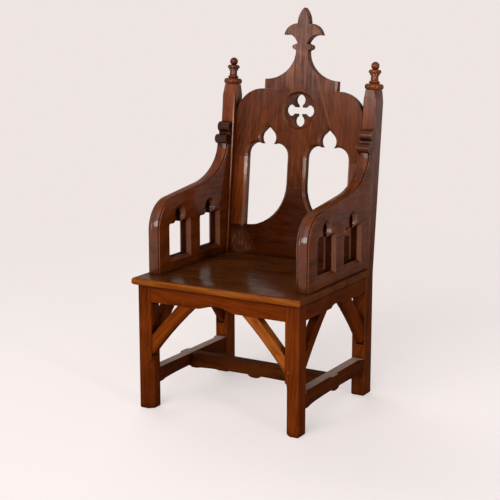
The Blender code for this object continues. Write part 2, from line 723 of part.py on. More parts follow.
def finial(side):
    """A turned finial: base ring, bead, neck, ring and ball, on a spigot in the top of its post."""
    torus_z = FINIAL_TORUS_HEIGHT / 2
    bead_half = FINIAL_BEAD_HEIGHT / 2
    bead_z = FINIAL_TORUS_HEIGHT + bead_half
    bead_core = FINIAL_BEAD - bead_half
    neck_z = FINIAL_TORUS_HEIGHT + FINIAL_BEAD_HEIGHT + FINIAL_NECK_HEIGHT
    half = FINIAL_RING_HEIGHT / 2
    ring_z = neck_z + FINIAL_FILLET_HEIGHT + half
    ball_z = ring_z + half + math.sqrt(max(FINIAL_BALL**2 - FINIAL_BALL_SEAT**2, 0))
    bulge = FINIAL_TORUS - FINIAL_CORE
    cove = bead_core - FINIAL_NECK
    ring_core = FINIAL_RING - half
    ring_start = math.degrees(math.acos(min(max((FINIAL_FILLET - ring_core) / half, 0), 1)))
    ball_start = math.degrees(math.acos(min(FINIAL_BALL_SEAT / FINIAL_BALL, 1)))
    ball_end = math.degrees(math.acos(min(FINIAL_BALL_FLAT / FINIAL_BALL, 1)))
    profile = [(SPIGOT_RADIUS, -SPIGOT_LENGTH), (SPIGOT_RADIUS, FIT)]
    profile += arc(FINIAL_CORE, torus_z + FIT / 2, bulge, -90, 90, MID_STEPS, torus_z - FIT / 2)
    profile += arc(bead_core, bead_z, bead_half, -90, 90, FINE_STEPS)
    profile += arc(bead_core, neck_z, cove, 270, 180, FINE_STEPS, FINIAL_NECK_HEIGHT)[1:]
    profile.append((FINIAL_FILLET, neck_z))
    profile += arc(ring_core, ring_z, half, -ring_start, 90, SHORT_STEPS)
    profile += arc(0, ball_z, FINIAL_BALL, -ball_start, ball_end, MID_STEPS)
    centre = side * POST_X

    def ring(radius, up):
        turned = arc(0, 0, radius, 0, 360, TURNED_SIDES)[:-1]
        return [leaned((centre + a, POST_DEPTH / 2 + b, POST_RISE + up)) for a, b in turned]

    rings = [ring(radius, up) for radius, up in profile]
    return body(f"finial_{SIDES[side]}", lambda bm: loft(bm, rings))


# Rails, braces and stretchers

def arched_edge(half_length, half_arch, rise, fullness):
    """Lower edge of a rail from its far end to its near end, with a shallow arch in the middle."""
    right = [(half_length, RAIL_LOW)]
    for i in range(LONG_STEPS + 1):
        t = i / LONG_STEPS
        lift = rise * math.sin(math.pi * t / 2) ** fullness
        right.append((half_arch * (1 - t), RAIL_LOW + lift))
    return right + [(-a, b) for a, b in reversed(right[:-1])]


def eased_plate(bm, outline, depths, amount, place):
    """A flat piece with its edges eased on both faces."""
    near, far = depths
    eased = inset(outline, [amount] * len(outline))
    step = amount if far > near else -amount
    rings = []
    for depth, drawn in ((near, eased), (near + step, outline), (far - step, outline), (far, eased)):
        rings.append([place((a, depth, b)) for a, b in drawn])
    loft(bm, rings)


def front_rail():
    half = LEG_INNER - FIT
    outline = arched_edge(half, LEG_INNER - BRACE_RUN - ARCH_MARGIN, FRONT_ARCH_RISE, FRONT_ARCH_FULLNESS)
    outline += [(-half, RAIL_TOP), (half, RAIL_TOP)]
    depths = (FACE_SET, FACE_SET + RAIL_THICK)
    made = body("front_rail", lambda bm: eased_plate(bm, outline, depths, EASE / 2, Vector))
    joined(made, rail_tenon(-1, 0), rail_tenon(1, 0))
    brace_seats(made, [brace_place(side, "front") for side in SIDES])
    return made


def back_rail():
    half = POST_INNER - FIT
    outline = [(half, RAIL_LOW), (-half, RAIL_LOW), (-half, RAIL_TOP), (half, RAIL_TOP)]
    rear = POST_REAR - FACE_SET
    made = body("back_rail", lambda bm: eased_plate(bm, outline, (rear - RAIL_THICK, rear), EASE / 2, Vector))
    y = rear - RAIL_THICK / 2
    joined(
        made,
        lambda bm: tenon_along_x(bm, -1, POST_INNER, y, TENON_LENGTH, 0),
        lambda bm: tenon_along_x(bm, 1, POST_INNER, y, TENON_LENGTH, 0),
    )
    return made


def side_rail(side):
    half = (POST_FRONT - LEG) / 2 - FIT
    outline = arched_edge(half, half - BRACE_RUN - ARCH_MARGIN, SIDE_ARCH_RISE, SIDE_ARCH_FULLNESS)
    outline += [(-half, RAIL_TOP), (half, RAIL_TOP)]

    def place(p):
        return Vector((side * (HALF - FACE_SET - p[1]), SIDE_MIDDLE + p[0], p[2]))

    depths = (0, RAIL_THICK)
    made = body(f"side_rail_{SIDES[side]}", lambda bm: eased_plate(bm, outline, depths, EASE / 2, place))
    joined(
        made,
        lambda bm: tenon_along_y(bm, side, LEG, -1, 0),
        lambda bm: tenon_along_y(bm, side, POST_FRONT, 1, 0),
    )
    brace_seats(made, [brace_place(side, kind) for kind in ("side_front", "side_rear")])
    return made


def brace_seats(rail, places):
    """Mortises for the tops of the braces in a rail, and then the holes for their pegs."""
    carved(rail, *[lambda bm, place=place: brace_top_tenon(bm, place, FIT) for place in places])
    carved(rail, *[lambda bm, place=place: one_peg_hole(bm, place, "top") for place in places])


def brace_footings(leg, places):
    """Trenches and mortises for the feet of the braces in a leg, and then the holes for their pegs."""
    carved(leg, *[lambda bm, place=place: brace_housing(bm, place) for place in places])
    carved(leg, *[lambda bm, place=place: brace_foot_tenon(bm, place, FIT) for place in places])
    carved(leg, *[lambda bm, place=place: one_peg_hole(bm, place, "foot") for place in places])


def one_peg_hole(bm, place, end):
    peg_holes(bm, {end: brace_peg_lines(place)[end]})


def brace(kind, side):
    place = brace_place(side, kind)
    made = body(f"{kind}_brace_{SIDES[side]}", lambda bm: brace_body(bm, place))
    joined(made, lambda bm: brace_foot_tenon(bm, place, 0), lambda bm: brace_top_tenon(bm, place, 0))
    carved(made, lambda bm: peg_holes(bm, brace_peg_lines(place)))
    return made


def stretcher_stations(half):
    """(distance from the middle, chamfer, lift of the lower edge) along a stretcher, end to end."""
    end = half - STRETCHER_CHAMFER
    start = end - STRETCHER_CHAMFER
    arch = start - STRETCHER_LOBE
    quarter = [math.radians(90 * i / FINE_STEPS) for i in range(FINE_STEPS + 1)]
    places = {half, end, STRETCHER_BLOCK, max(STRETCHER_BLOCK - STRETCHER_CHAMFER, FIT)}
    places.update(start - arch * (1 - math.cos(t)) for t in quarter)
    places.update(STRETCHER_LOBE * math.cos(t) for t in quarter[1:-1])
    stations = []
    for along in sorted(places, reverse=True):
        run_out = min(max(along - start, STRETCHER_BLOCK - along, 0) / STRETCHER_CHAMFER, 1)
        cut = STRETCHER_CHAMFER + (EASE - STRETCHER_CHAMFER) * run_out
        if along < STRETCHER_LOBE:
            lift = STRETCHER_ARCH * (1 - quarter_round(along / STRETCHER_LOBE))
        else:
            lift = STRETCHER_ARCH * quarter_round((along - STRETCHER_LOBE) / arch)
        stations.append((along, cut, lift))
    return stations + [(0, EASE, 0)] + [(-along, cut, lift) for along, cut, lift in reversed(stations)]


def stretcher_body(bm, half, place):
    """A square bar with a chamfered outer top edge that stops at the ends and at the middle block."""
    rings = []
    for along, cut, lift in stretcher_stations(half):
        outline = cut_square(0, STRETCHER_WIDTH, STRETCHER_LOW + lift, STRETCHER_TOP, (EASE, EASE, EASE, cut))
        rings.append([place((along, a, b)) for a, b in outline])
    loft(bm, rings)


def side_stretcher(side):
    half = (POST_FRONT - LEG) / 2 - FIT

    def place(p):
        return Vector((side * (HALF - FACE_SET - p[1]), SIDE_MIDDLE + p[0], p[2]))

    made = body(f"side_stretcher_{SIDES[side]}", lambda bm: stretcher_body(bm, half, place))
    joined(
        made,
        lambda bm: stretcher_tenon(bm, side, LEG, -1, 0),
        lambda bm: stretcher_tenon(bm, side, POST_FRONT, 1, 0),
    )
    carved(made, lambda bm: cross_tenon(bm, side, FIT), lambda bm: peg_holes(bm, stretcher_peg_lines(side)))
    return made


def cross_stretcher():
    half = STRETCHER_X - STRETCHER_WIDTH / 2 - FIT

    def place(p):
        return Vector((p[0], SIDE_MIDDLE - STRETCHER_WIDTH / 2 + p[1], p[2]))

    made = body("cross_stretcher", lambda bm: stretcher_body(bm, half, place))
    joined(made, lambda bm: cross_tenon(bm, -1, 0), lambda bm: cross_tenon(bm, 1, 0))
    return made


# Seat and arms

def seat_board():
    """A board with a rounded nosing on the front and sides, notched round the posts."""
    side = HALF + SEAT_SIDE_OVERHANG
    notch = POST_INNER - FIT
    rear = POST_REAR - FACE_SET
    right = [(notch, rear), (notch, POST_FRONT - FIT), (side, POST_FRONT - FIT), (side, -SEAT_FRONT_OVERHANG)]
    outline = [(-a, b) for a, b in reversed(right)] + right
    count = len(outline)
    nosed = (count - 2, count - 1, 0)  # right side, front and left side
    rings = []
    for i in range(FINE_STEPS + 1):
        t = math.radians(90 * i / FINE_STEPS)
        turn_in = SEAT_NOSE * (1 - math.sin(t))
        level = SEAT_NOSE * (1 - math.cos(t))
        rings.append((SEAT_UNDER + level, turn_in))
    rings += [(SEAT_UNDER + SEAT_TOP - level, turn_in) for level, turn_in in reversed(rings)]
    levels = []
    for z, turn_in in rings:
        amounts = [turn_in if edge in nosed else 0 for edge in range(count)]
        levels.append(across_z(inset(outline, amounts), z))
    made = body("seat_board", lambda bm: loft(bm, levels))
    for hand in SIDES:
        carved(made, lambda bm: dowel_holes(bm, arm_dowel_lines(hand)))
    return made


def arm_sweep():
    """Middle (y, z) of the hollow curve of an arm, and the angle at which the straight stretch meets it."""
    slope = math.atan(ARM_SLOPE)
    start = math.atan(ARM_SLOPE * ARM_SWEEP_LENGTH / ARM_SWEEP_HEIGHT) - math.pi / 2
    middle_y = POST_FRONT + ARM_SWEEP_PAST - ARM_SWEEP_LENGTH
    turn_y = ARM_FRONT + ARM_CURVE * (1 - math.sin(slope))
    turn_z = SEAT_TOP + ARM_RISE + ARM_CURVE * math.cos(slope)
    run = middle_y + ARM_SWEEP_LENGTH * math.cos(start) - turn_y
    middle_z = turn_z + ARM_SLOPE * run - ARM_SWEEP_HEIGHT * math.sin(start)
    return middle_y, middle_z, math.degrees(start)


def arm_outline():
    """Side outline of an arm panel in (y, z): round front, rising top edge and two rolls against the post.

    It also gives how many of its first edges carry the moulding."""
    slope = math.degrees(math.atan(ARM_SLOPE))
    points = [(ARM_FRONT, SEAT_TOP + FIT)]
    points += arc(ARM_FRONT + ARM_CURVE, SEAT_TOP + ARM_RISE, ARM_CURVE, 180, 90 + slope, LONG_STEPS)
    sweep_y, sweep_z, sweep_start = arm_sweep()
    turns = (sweep_start, ARM_SWEEP_END)
    points += arc(sweep_y, sweep_z, ARM_SWEEP_LENGTH, *turns, LONG_STEPS, ARM_SWEEP_HEIGHT)
    moulded = len(points) - 1
    foot = math.radians(ROLL_START)
    roll_y = points[-1][0] - ROLL_RADIUS * math.cos(foot)
    roll_z = points[-1][1] - ROLL_RADIUS * math.sin(foot)
    points += arc(roll_y, roll_z, ROLL_RADIUS, ROLL_START, ROLL_END, LONG_STEPS)[1:]
    upper_y = roll_y + UPPER_ROLL_BACK
    upper_z = roll_z + UPPER_ROLL_UP
    upper = arc(upper_y, upper_z, UPPER_ROLL_RADIUS, UPPER_ROLL_START, UPPER_ROLL_END, MID_STEPS)
    points.append((upper[0][0], (points[-1][1] + upper[0][1]) / 2))
    points += upper
    top = points[-1][1]
    points.append((post_face(top) - FIT, top))
    points.append((post_face(SEAT_TOP) - FIT, SEAT_TOP + FIT))
    return points, moulded


def arm_profile():
    """(place through the thickness, depth of the edge below the nose) of the moulded edge, face to face."""
    half = ARM_THICK / 2
    nose = half - ARM_BEAD - ARM_QUIRK_WIDTH
    side = arc(half - ARM_BEAD / 2, ARM_GROOVE, ARM_BEAD / 2, 0, -180, FINE_STEPS, ARM_BEAD_RISE)
    side += arc(0, ARM_QUIRK, nose, 0, -90, FINE_STEPS, ARM_QUIRK)[:-1]
    return side + [(0, 0)] + [(-place, depth) for place, depth in reversed(side)]


def window_outline(grow):
    """A square-shouldered opening with a round lobe on top, in (y from its middle, z), grown by the splay."""
    corner_y = WINDOW_HALF - WINDOW_CORNER
    corner = arc(corner_y, WINDOW_SHOULDER_Z, WINDOW_CORNER + grow, 0, 90, FINE_STEPS)
    shoulder_top = WINDOW_SHOULDER_Z + WINDOW_CORNER + grow
    radius = WINDOW_LOBE + grow
    drop = min(max((shoulder_top - WINDOW_LOBE_Z) / radius, -1), 1)
    start = max(math.degrees(math.asin(drop)), WINDOW_LOBE_START)
    lobe = arc(0, WINDOW_LOBE_Z, radius, start, 90, MID_STEPS)
    nose = (lobe[0][0] + WINDOW_NOSE, shoulder_top)
    right = [(WINDOW_HALF + grow, SILL_Z - grow)] + corner + [nose] + lobe
    return right + [(-a, b) for a, b in reversed(right[:-1])]


def window_cutter(bm, side, middle):
    """Through the arm, splayed towards both faces."""
    half = ARM_THICK / 2
    outside = half + FIT
    inside = half - WINDOW_SPLAY
    wide = WINDOW_SPLAY + FIT
    near = [(outside + OVERCUT, wide), (outside, wide), (inside, 0)]
    rings = []
    for depth, grow in near + [(-depth, grow) for depth, grow in reversed(near)]:
        outline = [(middle + a, b) for a, b in window_outline(grow)]
        rings.append(across_x(outline, side * (ARM_X + depth)))
    loft(bm, rings)


def arm_panel(side):
    outline, moulded = arm_outline()
    carries = [1 if edge < moulded else 0 for edge in range(len(outline))]
    rings = []
    for place, depth in arm_profile():
        drawn = inset(outline, [depth * c for c in carries])
        rings.append(across_x(drawn, side * (ARM_X + place)))
    made = body(f"arm_panel_{SIDES[side]}", lambda bm: loft(bm, rings))
    for middle in WINDOW_YS:
        carved(made, lambda bm: window_cutter(bm, side, middle))
    carved(made, lambda bm: dowel_holes(bm, arm_dowel_lines(side)))
    return made


# Back boards, in their own axes: across, behind the posts' faces, and up the lean

def lancet_outline(side, grow):
    """A lancet with a pointed top lobe between two side lobes, and a quarter-round foot."""
    lobe = LANCET_LOBE + grow
    shoulder = LANCET_SHOULDER + grow
    shoulder_x = LANCET_HALF - LANCET_SHOULDER
    gap = Vector((shoulder_x, LANCET_SPRING - LANCET_LOBE_S))
    reach = (gap.length**2 + lobe**2 - shoulder**2) / (2 * gap.length)
    rise = math.sqrt(max(lobe**2 - reach**2, 0))
    toward = gap.normalized()
    cusp = toward * reach + Vector((-toward.y, toward.x)) * rise
    cusp_turn = math.degrees(math.atan2(cusp.y, cusp.x))
    cusp_back = math.degrees(math.atan2(LANCET_LOBE_S + cusp.y - LANCET_SPRING, cusp.x - shoulder_x))
    tip_turn = 90 - math.degrees(math.acos(min(LANCET_LOBE / LANCET_TIP, 1)))
    outer = arc(shoulder_x, LANCET_SPRING, shoulder, 0, cusp_back, MID_STEPS)
    head = arc(0, LANCET_LOBE_S, lobe, cusp_turn, tip_turn, MID_STEPS)[1:]
    tip = (0, LANCET_LOBE_S + LANCET_TIP * lobe / LANCET_LOBE)
    right = outer + head
    foot_middle = LANCET_FOOT + LANCET_FOOT_RADIUS
    foot = arc(LANCET_HALF - TRIM, foot_middle, LANCET_FOOT_RADIUS + grow, 180, 270, LONG_STEPS)
    foot.append((LANCET_HALF + grow, LANCET_FOOT - grow))
    outline = right + [tip] + [(-a, b) for a, b in reversed(right)] + foot
    return [(side * (LANCET_X + a), b) for a, b in outline]


def lancet_cutter(bm, side):
    """Through the boards, with a chamfer on the front edges."""
    front = BOARD_SET - OVERCUT
    rings = [across_y(lancet_outline(side, BACK_CHAMFER + OVERCUT), front)]
    rings.append(across_y(lancet_outline(side, 0), BOARD_SET + BACK_CHAMFER))
    rings.append(across_y(lancet_outline(side, 0), BOARD_REAR + OVERCUT))
    loft(bm, rings)
    bmesh.ops.triangulate(bm, faces=bm.faces)


def roundel_cutter(bm):
    """A shallow dish with sloped sides."""
    slope = ROUNDEL_SLOPE / ROUNDEL_DEPTH
    rings = []
    for depth in (-OVERCUT, ROUNDEL_DEPTH):
        radius = ROUNDEL - slope * depth
        rings.append(across_y(arc(0, ROUNDEL_S, radius, 0, 360, ROUNDEL_SIDES)[:-1], BOARD_SET + depth))
    loft(bm, rings)


def leaf_cutter(bm):
    """A four-leaf opening: four round leaves joined by a narrow cross."""
    opening = math.degrees(math.asin(LEAF_NECK / LEAF))
    leaf = [(LEAF_NECK, LEAF_NECK)]
    leaf += arc(0, LEAF_REACH, LEAF, opening - 90, 270 - opening, LEAF_STEPS)
    outline = []
    for quarter in range(4):
        turn = math.radians(90 * quarter)
        for a, b in leaf:
            x = a * math.cos(turn) - b * math.sin(turn)
            up = a * math.sin(turn) + b * math.cos(turn)
            outline.append((x, ROUNDEL_S + up))
    loft(bm, [across_y(outline, BOARD_SET), across_y(outline, BOARD_REAR + OVERCUT)])


def upright_tenon(bm, x, seam, up, grow):
    """Tenon of a stile or the mullion across a seam. up is 1 for a tenon that rises above it."""
    start = seam - up * root(grow)
    ups = sorted((start, seam + up * (UPRIGHT_TENON_LENGTH + grow)))
    half = UPRIGHT_TENON / 2 + grow
    low = (x - half, BOARD_MIDDLE - TENON_THICK / 2 - grow, ups[0])
    high = (x + half, BOARD_MIDDLE + TENON_THICK / 2 + grow, ups[1])
    block(bm, low, high)


def tongue(bm, side, low_up, high_up):
    xs = sorted((side * (BACK_HALF - OVERCUT), side * (POST_INNER + TONGUE_DEPTH - FIT)))
    low = (xs[0], BOARD_MIDDLE - TONGUE / 2, low_up)
    high = (xs[1], BOARD_MIDDLE + TONGUE / 2, high_up)
    block(bm, low, high)


def pierced(made):
    for side in SIDES:
        carved(made, lambda bm: lancet_cutter(bm, side))


def base_board():
    """The bottom board, level where it stands on the seat, with the feet of the lancets cut in its top."""
    middle = JAMB - 2 * TRIM
    seam = LANCET_FOOT - FIT / 2
    rings = []
    for depth in (BOARD_SET, BOARD_REAR):
        low = up_the_lean(depth, SEAT_TOP + FIT)
        right = [(BACK_HALF, low), (BACK_HALF, seam), (middle, seam), (middle, BASE_SEAM - FIT / 2)]
        rings.append(across_y(mirrored(right), depth))
    made = body("back_base_board", lambda bm: loft(bm, rings))
    foot = up_the_lean(BOARD_REAR, SEAT_TOP + FIT)
    joined(made, lambda bm: tongue(bm, -1, foot, seam - FIT), lambda bm: tongue(bm, 1, foot, seam - FIT))
    pierced(made)
    carved(
        made,
        lambda bm: upright_tenon(bm, 0, BASE_SEAM, -1, FIT),
        lambda bm: upright_tenon(bm, -STILE_X, LANCET_FOOT, -1, FIT),
        lambda bm: upright_tenon(bm, STILE_X, LANCET_FOOT, -1, FIT),
    )
    return made


def stile(side):
    """An outer upright between the base board and the head board."""
    low = LANCET_FOOT + FIT / 2
    high = HEAD_SEAM - FIT / 2
    xs = sorted((side * (JAMB - TRIM), side * BACK_HALF))
    made = body(
        f"back_stile_{SIDES[side]}",
        lambda bm: block(bm, (xs[0], BOARD_SET, low), (xs[1], BOARD_REAR, high)),
    )
    joined(
        made,
        lambda bm: tongue(bm, side, low + FIT, high - FIT),
        lambda bm: upright_tenon(bm, side * STILE_X, LANCET_FOOT, -1, 0),
        lambda bm: upright_tenon(bm, side * STILE_X, HEAD_SEAM, 1, 0),
    )
    carved(made, lambda bm: lancet_cutter(bm, side))
    return made


def mullion():
    half = LANCET_X - LANCET_HALF + TRIM
    low = (-half, BOARD_SET, BASE_SEAM + FIT / 2)
    high = (half, BOARD_REAR, HEAD_SEAM - FIT / 2)
    made = body("back_mullion", lambda bm: block(bm, low, high))
    joined(
        made,
        lambda bm: upright_tenon(bm, 0, BASE_SEAM, -1, 0),
        lambda bm: upright_tenon(bm, 0, HEAD_SEAM, 1, 0),
    )
    pierced(made)
    return made


def head_board():
    """The board with the heads of the lancets, the roundel and rounded shoulders."""
    reach = math.degrees(math.acos(min((BACK_HALF - SHOULDER_X) / SHOULDER, 1)))
    low = HEAD_SEAM + FIT / 2
    right = [(BACK_HALF, low)] + arc(SHOULDER_X, SHOULDER_S, SHOULDER, reach, 90, LONG_STEPS)
    outline = mirrored(right)
    count = len(outline)
    shoulder = range(1, len(right) - 1)
    eased = [EASE if i in shoulder or count - 2 - i in shoulder else 0 for i in range(count)]
    drawn = inset(outline, eased)
    rings = [across_y(drawn, BOARD_SET), across_y(outline, BOARD_SET + EASE)]
    rings += [across_y(outline, BOARD_REAR - EASE), across_y(drawn, BOARD_REAR)]
    made = body("back_head_board", lambda bm: loft(bm, rings))
    top = tongue_top()
    joined(made, lambda bm: tongue(bm, -1, low + FIT, top), lambda bm: tongue(bm, 1, low + FIT, top))
    pierced(made)
    carved(made, roundel_cutter)
    carved(made, leaf_cutter)
    carved(
        made,
        lambda bm: upright_tenon(bm, 0, HEAD_SEAM, 1, FIT),
        lambda bm: upright_tenon(bm, -STILE_X, HEAD_SEAM, 1, FIT),
        lambda bm: upright_tenon(bm, STILE_X, HEAD_SEAM, 1, FIT),
        lambda bm: dowel_holes(bm, crest_dowel_lines()),
    )
    return made


def crest_outline():
    """Right half of the crest, from the seam up: square shoulder, hollow sweep, knop, side lobe and petal."""
    low = CREST_SEAM + FIT
    sweep_a = CREST_HALF - CREST_NECK
    points = [(CREST_HALF, low)]
    points += arc(CREST_HALF, CREST_NECK_S, sweep_a, 270, 180, LONG_STEPS, CREST_NECK_RISE)
    knop_x = KNOP_REACH - KNOP
    points += arc(knop_x, KNOP_S, KNOP, -90, 90, MID_STEPS)
    points.append((FLEUR_WAIST, FLEUR_WAIST_S))
    points += bowed(points[-1], (FLEUR_LOBE_X, FLEUR_LOBE_S), FLEUR_HOLLOW)
    points += bowed(points[-1], (FLEUR_PETAL, FLEUR_PETAL_S), -FLEUR_SWELL)
    points += bowed(points[-1], (0, FLEUR_TIP), -FLEUR_PETAL_SWELL)
    return points


def crest_board():
    right = crest_outline()
    outline = right + [(-a, b) for a, b in reversed(right[:-1])]
    count = len(outline)
    eased = [EASE] * count
    eased[0] = CREST_STEP_CHAMFER
    eased[count - 2] = CREST_STEP_CHAMFER
    eased[count - 1] = 0
    front = inset(outline, eased)
    lightly = inset(outline, [min(amount, EASE) for amount in eased])
    rings = [across_y(front, BOARD_SET), across_y(lightly, BOARD_SET + CREST_STEP_CHAMFER - EASE)]
    rings.append(across_y(outline, BOARD_SET + CREST_STEP_CHAMFER))
    rings += [across_y(outline, BOARD_REAR - EASE), across_y(lightly, BOARD_REAR)]
    made = body("crest_board", lambda bm: loft(bm, rings))
    carved(made, lambda bm: dowel_holes(bm, crest_dowel_lines()))
    return made


def pins(name, kind, lines, finish, parent):
    """One piece for each line, named after it."""
    for end, line in lines.items():
        finished(body(f"{name}_{end}", lambda bm: kind(bm, line)), finish, parent, smooth=True)


def build_chair():
    frame = oak("frame_oak", (0.105, 0.030, 0.009), 0.38)
    light = oak("brace_oak", (0.190, 0.060, 0.012), 0.42)
    seat = oak("seat_oak", (0.075, 0.024, 0.009), 0.25)
    panel = oak("back_oak", (0.090, 0.028, 0.010), 0.36)
    turned = oak("finial_oak", (0.120, 0.040, 0.015), 0.33)
    pale = oak("peg_oak", (0.200, 0.085, 0.028), 0.50)

    chair = bpy.data.objects.new("chair", None)
    back = bpy.data.objects.new("leaning_back", None)
    for empty in (chair, back):
        bpy.context.scene.collection.objects.link(empty)

    for side in SIDES:
        finished(front_leg(side), frame, chair)
        finished(back_post(side), frame, chair)
        finished(finial(side), turned, chair, smooth=True)
        finished(side_rail(side), frame, chair)
        finished(side_stretcher(side), frame, chair)
        finished(arm_panel(side), frame, chair, smooth=True)
        finished(stile(side), panel, back)
        pins(f"arm_dowel_{SIDES[side]}", dowel, arm_dowel_lines(side), pale, chair)
        pins(f"stretcher_peg_{SIDES[side]}", peg, stretcher_peg_lines(side), pale, chair)
    finished(front_rail(), frame, chair)
    finished(back_rail(), frame, chair)
    finished(cross_stretcher(), frame, chair)
    finished(seat_board(), seat, chair, smooth=True)
    for kind, side in BRACES:
        finished(brace(kind, side), light, chair)
        pins(f"{kind}_peg_{SIDES[side]}", peg, brace_peg_lines(brace_place(side, kind)), pale, chair)
    for board in (base_board(), mullion(), head_board(), crest_board()):
        finished(board, panel, back)
    pins("crest_dowel", dowel, crest_dowel_lines(), pale, back)

    back.parent = chair
    back.location = (0, POST_FRONT, BEND)
    back.rotation_euler = (-LEAN, 0, 0)
    chair.location = (0, -MIDDLE_Y, 0)


for left_over in list(bpy.data.objects):
    bpy.data.objects.remove(left_over)
build_chair()
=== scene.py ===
"""Looks of the Gothic oak carver chair: stained and varnished oak with its wear, on a pale studio floor."""

import math

import bpy
from mathutils import Euler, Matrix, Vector


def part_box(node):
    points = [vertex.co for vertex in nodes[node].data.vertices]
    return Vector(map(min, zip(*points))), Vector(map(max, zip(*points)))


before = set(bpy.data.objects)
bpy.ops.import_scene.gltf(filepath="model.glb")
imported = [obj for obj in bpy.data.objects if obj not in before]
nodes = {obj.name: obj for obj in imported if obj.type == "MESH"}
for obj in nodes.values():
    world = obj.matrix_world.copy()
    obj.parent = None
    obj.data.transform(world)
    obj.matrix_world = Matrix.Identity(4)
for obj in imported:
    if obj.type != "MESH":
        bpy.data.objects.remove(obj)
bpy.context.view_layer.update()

LEAN = math.radians(5.5)  # of the back
UPRIGHT = Euler((0, 0, 0))  # turns of the grain's own axes, whose Z runs along the grain
LEANING = Euler((-LEAN, 0, 0))
SIDE_TO_SIDE = Euler((0, math.pi / 2, 0))
FRONT_TO_BACK = Euler((-math.pi / 2, 0, 0))
SIDES = {"left": -1, "right": 1}


# Shader terms

class Term:
    """A socket of a finish's node tree. Arithmetic on terms adds Math nodes."""

    def __init__(self, tree, socket=None):
        self.tree = tree
        self.socket = socket

    def node(self, kind, settings=None, sockets=None, out=0):
        """Adds a node: its settings first, then the values or links of its sockets."""
        made = self.tree.nodes.new(kind)
        for key, value in (settings or {}).items():
            if key == "stops":
                set_stops(made.color_ramp, value)
            else:
                setattr(made, key, value)
        for key, value in (sockets or {}).items():
            if isinstance(value, Term):
                self.tree.links.new(value.socket, made.inputs[key])
            else:
                made.inputs[key].default_value = value
        return Term(self.tree, made.outputs[out] if made.outputs else None)

    def math(self, operation, *values):
        """A Math node on the given values, or on this term alone."""
        return self.node("ShaderNodeMath", {"operation": operation}, dict(enumerate(values or [self])))

    def __add__(self, other):
        return self.math("ADD", self, other)

    def __sub__(self, other):
        return self.math("SUBTRACT", self, other)

    def __rsub__(self, other):
        return self.math("SUBTRACT", other, self)

    def __mul__(self, other):
        return self.math("MULTIPLY", self, other)

    def __truediv__(self, other):
        return self.math("DIVIDE", self, other)

    def __rtruediv__(self, other):
        return self.math("DIVIDE", other, self)

    __radd__ = __add__
    __rmul__ = __mul__

    def between(self, low, high):
        """0 below low and 1 above high, with a smooth step between them."""
        settings = {"interpolation_type": "SMOOTHSTEP"}
        return self.node("ShaderNodeMapRange", settings, {"Value": self, "From Min": low, "From Max": high})

    def at_least(self, least):
        """Goes from least to 1 as this term goes from 0 to 1."""
        return self * (1 - least) + least

    def mixed(self, low, high, blend="MIX"):
        """A colour that goes from low to high as this term goes from 0 to 1."""
        settings = {"data_type": "RGBA", "blend_type": blend}
        return self.node("ShaderNodeMix", settings, {0: self, 6: low, 7: high}, out=2)

    def vector(self, operation, other=None, out=0):
        sockets = {0: self} if other is None else {0: self, 1: other}
        return self.node("ShaderNodeVectorMath", {"operation": operation}, sockets, out)

    def length(self):
        return self.vector("LENGTH", out="Value")

    def beside(self, out):
        """Another output of the same node."""
        return Term(self.tree, self.socket.node.outputs[out])

    def parts(self):
        """The x, y and z of this vector."""
        split = self.node("ShaderNodeSeparateXYZ", None, {"Vector": self})
        return [split.beside(axis) for axis in "XYZ"]

    def noise(self, cell, detail=2):
        """Noise at this place, with cells of the given size in metres along each axis."""
        sockets = {"Vector": self.vector("DIVIDE", cell), "Scale": 1, "Detail": detail}
        return self.node("ShaderNodeTexNoise", None, sockets)

    def swing(self, cell, detail=2):
        """The same noise, swinging about 0."""
        return self.noise(cell, detail) - 0.5


def set_stops(ramp, stops):
    while len(ramp.elements) < len(stops):
        ramp.elements.new(1)
    for element, (place, colour) in zip(ramp.elements, stops):
        element.position = place
        element.color = colour


def emptied(owner):
    """A start in the emptied node tree of a material or of the world."""
    owner.use_nodes = True
    owner.node_tree.nodes.clear()
    return Term(owner.node_tree)


def surfaced(start, sockets):
    """Ends a material's node tree with its surface."""
    shader = start.node("ShaderNodeBsdfPrincipled", None, sockets)
    start.node("ShaderNodeOutputMaterial", None, {"Surface": shader})


def srgb(red, green, blue):
    """A colour given in 8-bit screen values, as the shader's linear values."""
    def linear(value):
        value /= 255
        return value / 12.92 if value <= 0.04045 else ((value + 0.055) / 1.055) ** 2.4

    return (linear(red), linear(green), linear(blue), 1)


# Colours of the oak

class Tint:
    """One colour of oak: the stain in open grain, the ground, the figure, the worn edges, also lightened as
    painted highlight, and its varnish.
    """

    def __init__(
        self, stain, ground, figure, wear_and_highlight, varnish=0.5, satin=0.14, flecks=0.15, low_shine=0.05, edge_wear_and_highlight=0.65,
        grime_and_shade_reach=0.030,
    ):
        self.stain = srgb(*stain)
        self.ground = srgb(*ground)
        self.figure = srgb(*figure)
        self.wear_and_highlight = srgb(*wear_and_highlight)
        self.varnish = varnish
        self.satin = satin  # roughness of the varnish
        self.flecks = flecks
        self.low_shine = low_shine  # share of the varnish that is left near the floor
        self.edge_wear_and_highlight = edge_wear_and_highlight
        self.grime_and_shade_reach = grime_and_shade_reach


